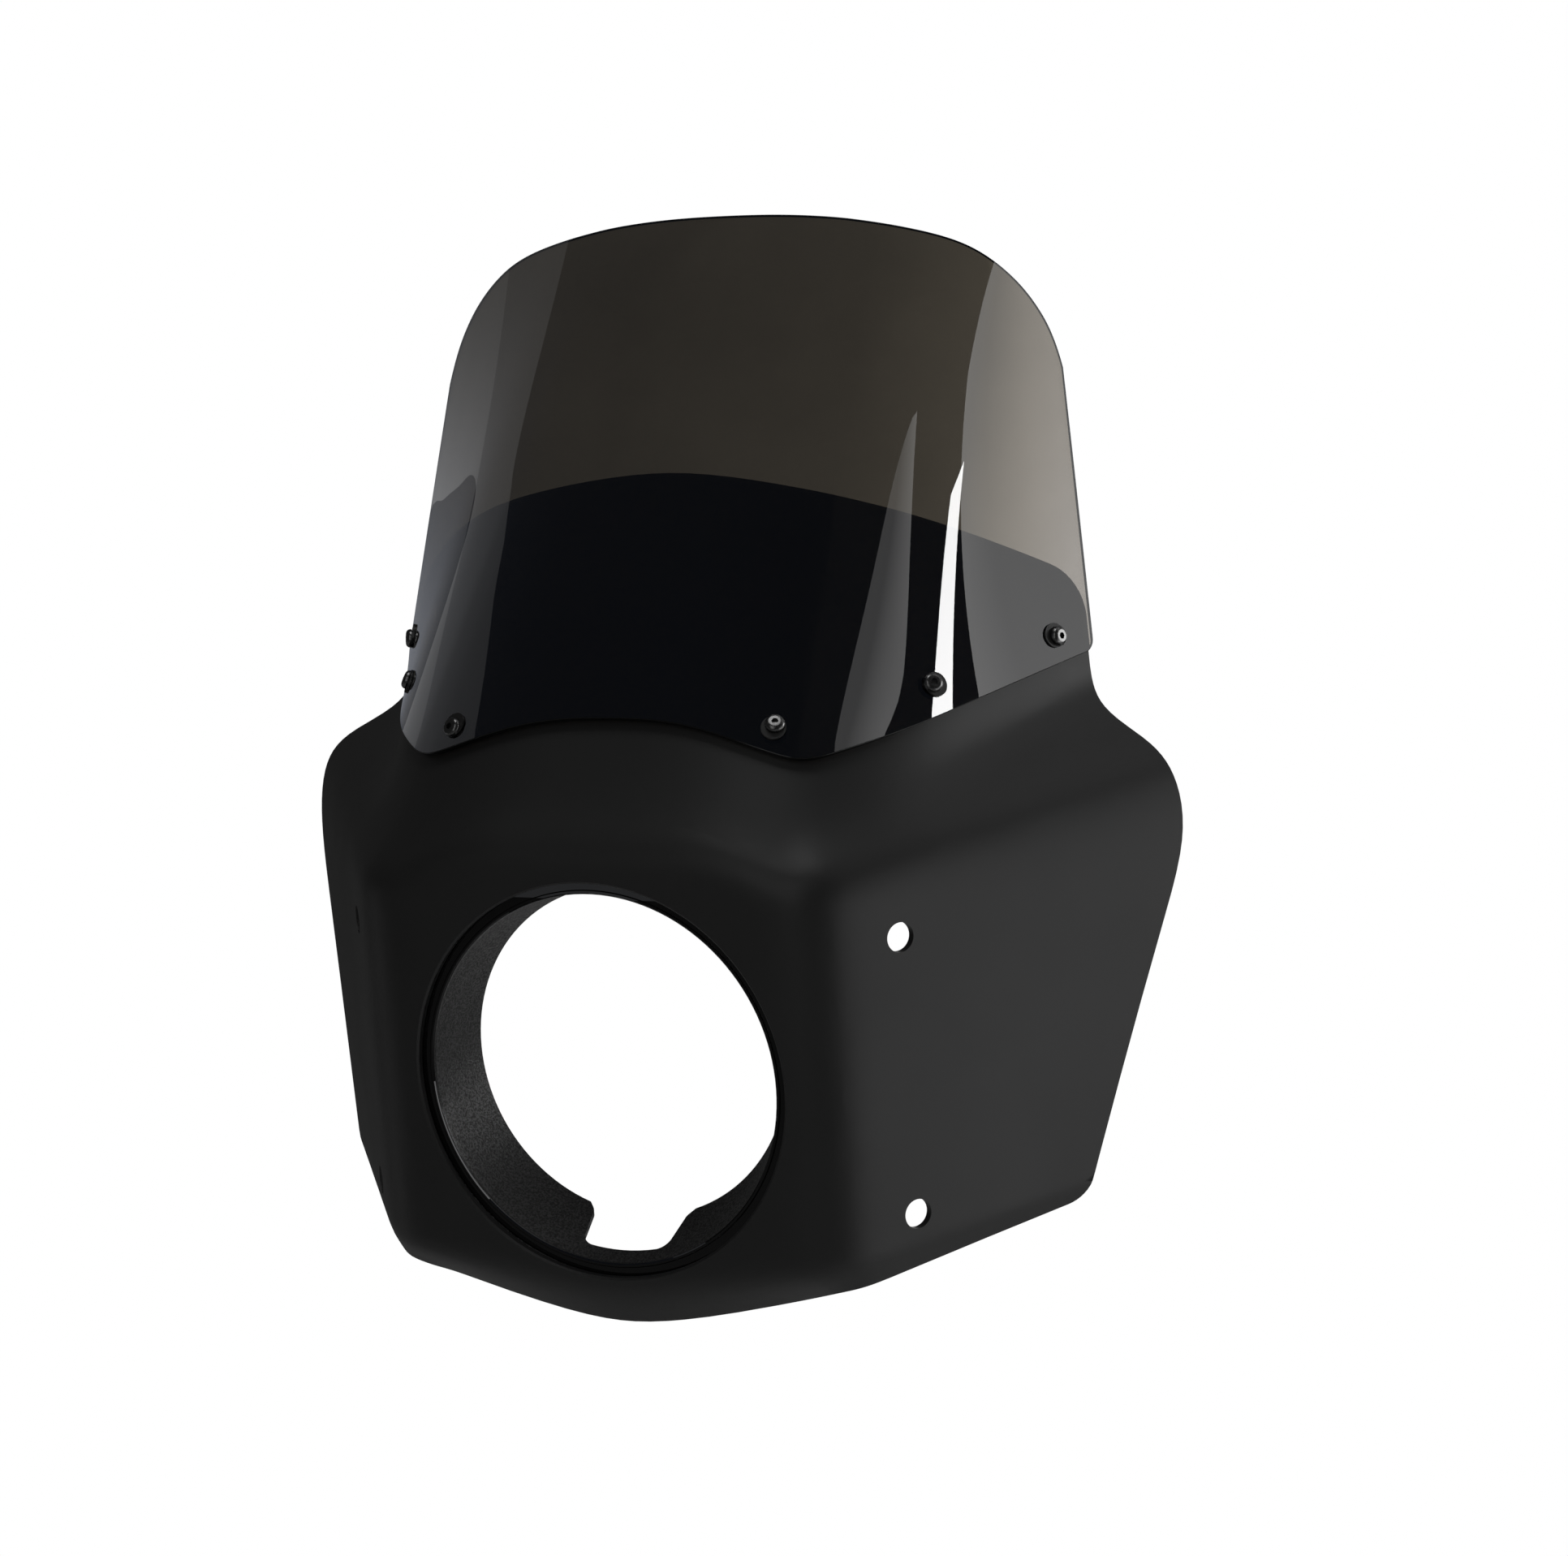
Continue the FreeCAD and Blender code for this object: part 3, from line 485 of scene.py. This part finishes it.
def screw_frame(node):
    """Middle of a screw's tip, and the direction from it to the head, from the screw's solid."""
    bm = merged_node(node)
    points = [vert.co.copy() for vert in bm.verts]
    bm.free()
    middle = sum(points, Vector()) / len(points)
    farthest = max(points, key=lambda point: (point - middle).length)
    axis = (middle - farthest).normalized()
    for _ in range(AXIS_ROUNDS):
        places = [point.dot(axis) for point in points]
        low = min(places) + END_SLICE * MM
        high = max(places) - END_SLICE * MM
        tail = [point for point, place in zip(points, places) if place < low]
        head = [point for point, place in zip(points, places) if place > high]
        tip = sum(tail, Vector()) / len(tail)
        axis = (sum(head, Vector()) / len(head) - tip).normalized()
    return tip, axis


def screw_outline():
    """Half outline of a screw from its tip to the flat top of its head, as radius and height."""
    outline = [(0.0, -SHANK_LENGTH), (SHANK_RADIUS - TIP_CHAMFER, -SHANK_LENGTH),
               (SHANK_RADIUS, TIP_CHAMFER - SHANK_LENGTH), (SHANK_RADIUS, 0.0),
               (HEAD_RADIUS - HEAD_CHAMFER, 0.0), (HEAD_RADIUS, HEAD_CHAMFER), (HEAD_RADIUS, HEAD_RIM)]
    for step in range(1, CROWN_STEPS + 1):
        angle = math.radians(90 * step / CROWN_STEPS)
        outline.append((CROWN_RADIUS + (HEAD_RADIUS - CROWN_RADIUS) * math.cos(angle),
                        HEAD_RIM + (HEAD_HEIGHT - HEAD_RIM) * math.sin(angle)))
    return outline


def close_with_socket(bm):
    """The open top of a turned screw, closed round a hexagon socket."""
    rim = [edge for edge in bm.edges if edge.is_boundary]
    socket = bmesh.ops.create_circle(bm, segments=6, radius=SOCKET_WIDTH / math.sqrt(3) * MM,
                                     matrix=Matrix.Translation((0, 0, HEAD_HEIGHT * MM)))["verts"]
    ring = list({edge for vert in socket for edge in vert.link_edges})
    bmesh.ops.triangle_fill(bm, edges=rim + ring, use_beauty=True)
    hole = [face for face in bm.faces if all(vert in socket for vert in face.verts)]
    bmesh.ops.delete(bm, geom=hole, context="FACES_ONLY")
    wall = bmesh.ops.extrude_edge_only(bm, edges=ring)["geom"]
    deep = [item for item in wall if isinstance(item, bmesh.types.BMVert)]
    bmesh.ops.translate(bm, verts=deep, vec=(0, 0, -SOCKET_DEPTH * MM))
    bottom = [item for item in wall if isinstance(item, bmesh.types.BMEdge) and item.is_boundary]
    bmesh.ops.contextual_create(bm, geom=bottom)


def make_button_screw(place):
    node = f"windshield_screw_{place}"
    tip, axis = screw_frame(node)
    bm = bmesh.new()
    verts = [bm.verts.new((radius * MM, 0, height * MM)) for radius, height in screw_outline()]
    edges = [bm.edges.new(pair) for pair in zip(verts, verts[1:])]
    bmesh.ops.spin(bm, geom=verts + edges, cent=(0, 0, 0), axis=(0, 0, 1), dvec=(0, 0, 0),
                   angle=math.tau, steps=TURNED_STEPS, use_merge=True, use_duplicate=False)
    bmesh.ops.remove_doubles(bm, verts=bm.verts, dist=SCREW_WELD * MM)
    close_with_socket(bm)
    bmesh.ops.recalc_face_normals(bm, faces=bm.faces)
    smooth_up_to(bm, SCREW_SMOOTH_ANGLE)
    under_head = Matrix.Translation(tip + axis * SHANK_LENGTH * MM)
    turned = axis.to_track_quat("Z", "Y").to_matrix().to_4x4() @ Matrix.Rotation(SOCKET_TURN, 4, "Z")
    bmesh.ops.transform(bm, matrix=under_head @ turned, verts=bm.verts)
    add_piece(bm, f"button_screw_{place}", "black_screw", node)


smooth_piece("cowl_shell", "moulded_shell", "shell")
trim_ring = smooth_piece("headlight_ring", "trim_ring", "ring")
round_rims(trim_ring, RING_ROUNDING, RING_SEGMENTS, RING_RIM_ANGLE)
make_windshield()
for side in SIDES:
    for place in PLACES:
        where = f"{side}_{place}"
        make_button_screw(where)
        smooth_piece(f"nylon_washer_{where}", f"washer_{where}", "black_nylon")
        smooth_piece(f"well_nut_sleeve_{where}", f"rubber_nut_{where}", "rubber_sleeve")
        smooth_piece(f"well_nut_insert_{where}", f"brass_nut_{where}", "brass_insert")
for corner in CORNERS:
    smooth_piece(f"ring_screw_{corner}", f"tapping_screw_{corner}", "zinc_screw")


# Camera at the photograph's place, with its turn, climb and roll

TURN, CLIMB, ROLL = (math.radians(angle) for angle in (24.73, 10.79, -4.01))
CAMERA_PLACE = Vector((0.8449, -1.6034, 0.4829))
FOCAL_PIXELS = 4948.0
PHOTO_WIDTH = 1932.0
SENSOR = 36.0
CLIP_START = 0.05
CLIP_END = 50.0


def make_camera():
    right = Vector((math.cos(TURN), math.sin(TURN), 0))
    forward = Vector((-math.sin(TURN) * math.cos(CLIMB), math.cos(TURN) * math.cos(CLIMB),
                      -math.sin(CLIMB)))
    up = right.cross(forward)
    rolled_right = right * math.cos(ROLL) + up * math.sin(ROLL)
    rolled_up = up * math.cos(ROLL) - right * math.sin(ROLL)
    lens = bpy.data.cameras.new("camera")
    lens.sensor_width = SENSOR
    lens.lens = FOCAL_PIXELS / PHOTO_WIDTH * SENSOR
    lens.clip_start = CLIP_START
    lens.clip_end = CLIP_END
    camera = bpy.data.objects.new("camera", lens)
    camera.matrix_world = Matrix.Translation(CAMERA_PLACE) @ Matrix(
        (rolled_right, rolled_up, -forward)).transposed().to_4x4()
    bpy.context.scene.collection.objects.link(camera)
    return camera


bpy.context.scene.camera = make_camera()
bpy.context.scene.view_settings.view_transform = "Standard"


# Studio: white backdrop, pale floor and soft lamps

AIM = Vector((0, 0.05, 0.1))
LAMP_DISTANCE = 2.0
# Azimuth from straight ahead of the lamp opening towards +X and elevation, in degrees, width and
# height in metres, power in watts
LAMPS = {
    "right_back": (120, 8, 0.8, 0.8, 10.6),
    "right_over": (115, 45, 0.8, 0.8, 1.2),
    "right_side": (100, -8, 0.8, 0.8, 2.7),
    "right_low": (80, -22, 0.8, 0.8, 2.8),
    "back_high": (150, 55, 1.0, 1.0, 1.0),
    "front": (0, 10, 1.0, 1.0, 2.2),
    "front_high": (5, 38, 0.8, 0.8, 1.8),
    "top": (0, 88, 0.8, 0.8, 6.2),
    "left_low": (-80, -20, 0.8, 0.8, 0.4),
    "behind": (180, 5, 1.0, 1.0, 3.0),
}

# Softboxes that only the polished sheet and the ring's bead mirror. A direction is inside one where its
# dot product with each edge's normal is above that edge's least value. The strength goes from the first
# value at the first edge to the second value, over the fade. They mirror the high gleam from all sides.
SOFTBOXES = {
    "right": ((3.0, 2.35), 0.06, (((0.581, -0.544, -0.605), 0.180), ((0.709, -0.529, -0.468), 0.349),
                                  ((1.0, 0.0, 0.0), 0.0))),
    "slit": ((22.0, 22.0), 1.0, (((0.726, -0.451, -0.519), 0.3132), ((-0.614, 0.470, 0.635), -0.1809),
                                 ((0.0, 0.0, -1.0), -0.60), ((0.94, 0.34, 0.0), 0.0))),
    "wedge": ((2.1, 0.9), 0.03, (((-0.437, 0.660, 0.611), 0.020), ((0.454, 0.891, 0.0), 0.0),
                                 ((1.0, 0.0, 0.0), 0.0), ((1.0, 0.0, -0.75), -0.01))),
    "left": ((0.24, 0.24), 1.0, (((-0.460, -0.569, -0.682), 0.0), ((-1.0, 0.0, 0.0), 0.0))),
    "left_back": ((0.13, 0.13), 1.0, (((-0.368, -0.323, -0.872), 0.0), ((-1.0, 0.0, 0.0), 0.0))),
    "backdrop": ((1.0, 1.0), 1.0, (((0.0, 1.0, 0.0), 0.92),)),
}
HIGH_GLEAM = (0.055, 0.065, 0.090, 1.0)

# Plain light, and what is seen through the sheet. Each span gives two dot products of the direction
# with straight back or with the hot side, and the values there.
BACK = (0.0, 1.0, 0.0)
AMBIENT_SPAN = (0.8, 0.95, 0.05, 0.4)
HOT_SIDE = (0.922, 0.350, -0.163)
HOT_RISE = (0.0, 0.03, 0.0, 1.0)
HOT_FALL = (0.05, 0.15, 1.0, 0.0)
HOT_LEAST_BACK = 0.5
HOT_STRENGTH = 9.5
HOT_COLOUR = (0.79, 0.84, 1.0, 1.0)
BEHIND_SPAN = (-0.09, -0.03, 0.72, 1.05)
BESIDE_HOT_SPAN = (-0.03, 0.0, 0.0, 0.65)

FLOOR_HALF = 4.0
FLOOR_HEIGHT = -0.9
FLOOR_PAINT = (0.8, 0.8, 0.8, 1.0)


def soft_lamp(name, azimuth, elevation, width, height, power):
    lamp = bpy.data.lights.new(name, "AREA")
    lamp.shape = "RECTANGLE"
    lamp.size = width
    lamp.size_y = height
    lamp.energy = power
    azimuth = math.radians(azimuth)
    elevation = math.radians(elevation)
    away = Vector((math.sin(azimuth) * math.cos(elevation), -math.cos(azimuth) * math.cos(elevation),
                   math.sin(elevation)))
    stand = bpy.data.objects.new(name, lamp)
    stand.location = AIM + away * LAMP_DISTANCE
    stand.rotation_mode = "QUATERNION"
    stand.rotation_quaternion = (-away).to_track_quat("-Z", "Y")
    bpy.context.scene.collection.objects.link(stand)


def toward(direction, normal):
    """Dot product of the direction looked in and a normal."""
    return direction.finish.node("ShaderNodeVectorMath", {"operation": "DOT_PRODUCT"},
                                 {0: direction, 1: normal}, result="Value")


def softbox_gleam(studio, direction):
    """Strength of all softboxes together in a direction."""
    gleam = 0.0
    for (near, far), fade, edges in SOFTBOXES.values():
        first_normal, first_least = edges[0]
        inside = studio.ranged(toward(direction, first_normal), first_least, first_least + fade, near, far)
        for normal, least in edges:
            inside = (toward(direction, normal) > least) * inside
        gleam = inside + gleam
    return gleam


def background(studio, colour, strength):
    return studio.node("ShaderNodeBackground", None, {"Color": colour, "Strength": strength})


def make_world():
    world = bpy.data.worlds.new("studio")
    studio = Finish(world)
    direction = studio.places("Generated")
    gleam = softbox_gleam(studio, direction)
    side = toward(direction, HOT_SIDE)
    rearward = toward(direction, BACK)
    hot = studio.ranged(side, *HOT_RISE) * studio.ranged(side, *HOT_FALL) * (rearward > HOT_LEAST_BACK)
    behind = studio.ranged(side, *BEHIND_SPAN) + studio.ranged(side, *BESIDE_HOT_SPAN) + hot * HOT_STRENGTH
    ambient = background(studio, WHITE, studio.ranged(rearward, *AMBIENT_SPAN))
    backdrop = background(studio, WHITE, 1.0)
    seen_through = background(studio, studio.blend(hot, WHITE, HOT_COLOUR), behind)
    mirrored = studio.node("ShaderNodeAddShader", None, {
        0: background(studio, WHITE, gleam), 1: background(studio, HIGH_GLEAM, 1.0)})
    sharp = studio.rays("Is Glossy Ray") * studio.rays("Is Singular Ray")
    shown = studio.either(sharp, ambient, mirrored)
    shown = studio.either(studio.rays("Is Transmission Ray"), shown, seen_through)
    shown = studio.either(studio.rays("Is Camera Ray"), shown, backdrop)
    studio.node("ShaderNodeOutputWorld", None, {"Surface": shown})
    return world


def pale_floor():
    finish = new_finish("pale_floor")
    seen = finish.rays("Is Camera Ray") + finish.rays("Is Transmission Ray")
    paint = finish.node("ShaderNodeBsdfDiffuse", None, {"Color": FLOOR_PAINT})
    glow = finish.node("ShaderNodeEmission", None, {"Color": WHITE, "Strength": 1.0})
    finish.node("ShaderNodeOutputMaterial", None, {"Surface": finish.either(seen, paint, glow)})
    return finish.owner


def make_floor():
    bm = bmesh.new()
    bmesh.ops.create_grid(bm, x_segments=2, y_segments=2, size=FLOOR_HALF)
    bmesh.ops.translate(bm, verts=bm.verts, vec=(0, 0, FLOOR_HEIGHT))
    mesh = bpy.data.meshes.new("floor")
    bm.to_mesh(mesh)
    bm.free()
    mesh.materials.append(pale_floor())
    floor = bpy.data.objects.new("floor", mesh)
    bpy.context.scene.collection.objects.link(floor)


for name, lamp_values in LAMPS.items():
    soft_lamp(name, *lamp_values)
bpy.context.scene.world = make_world()
make_floor()
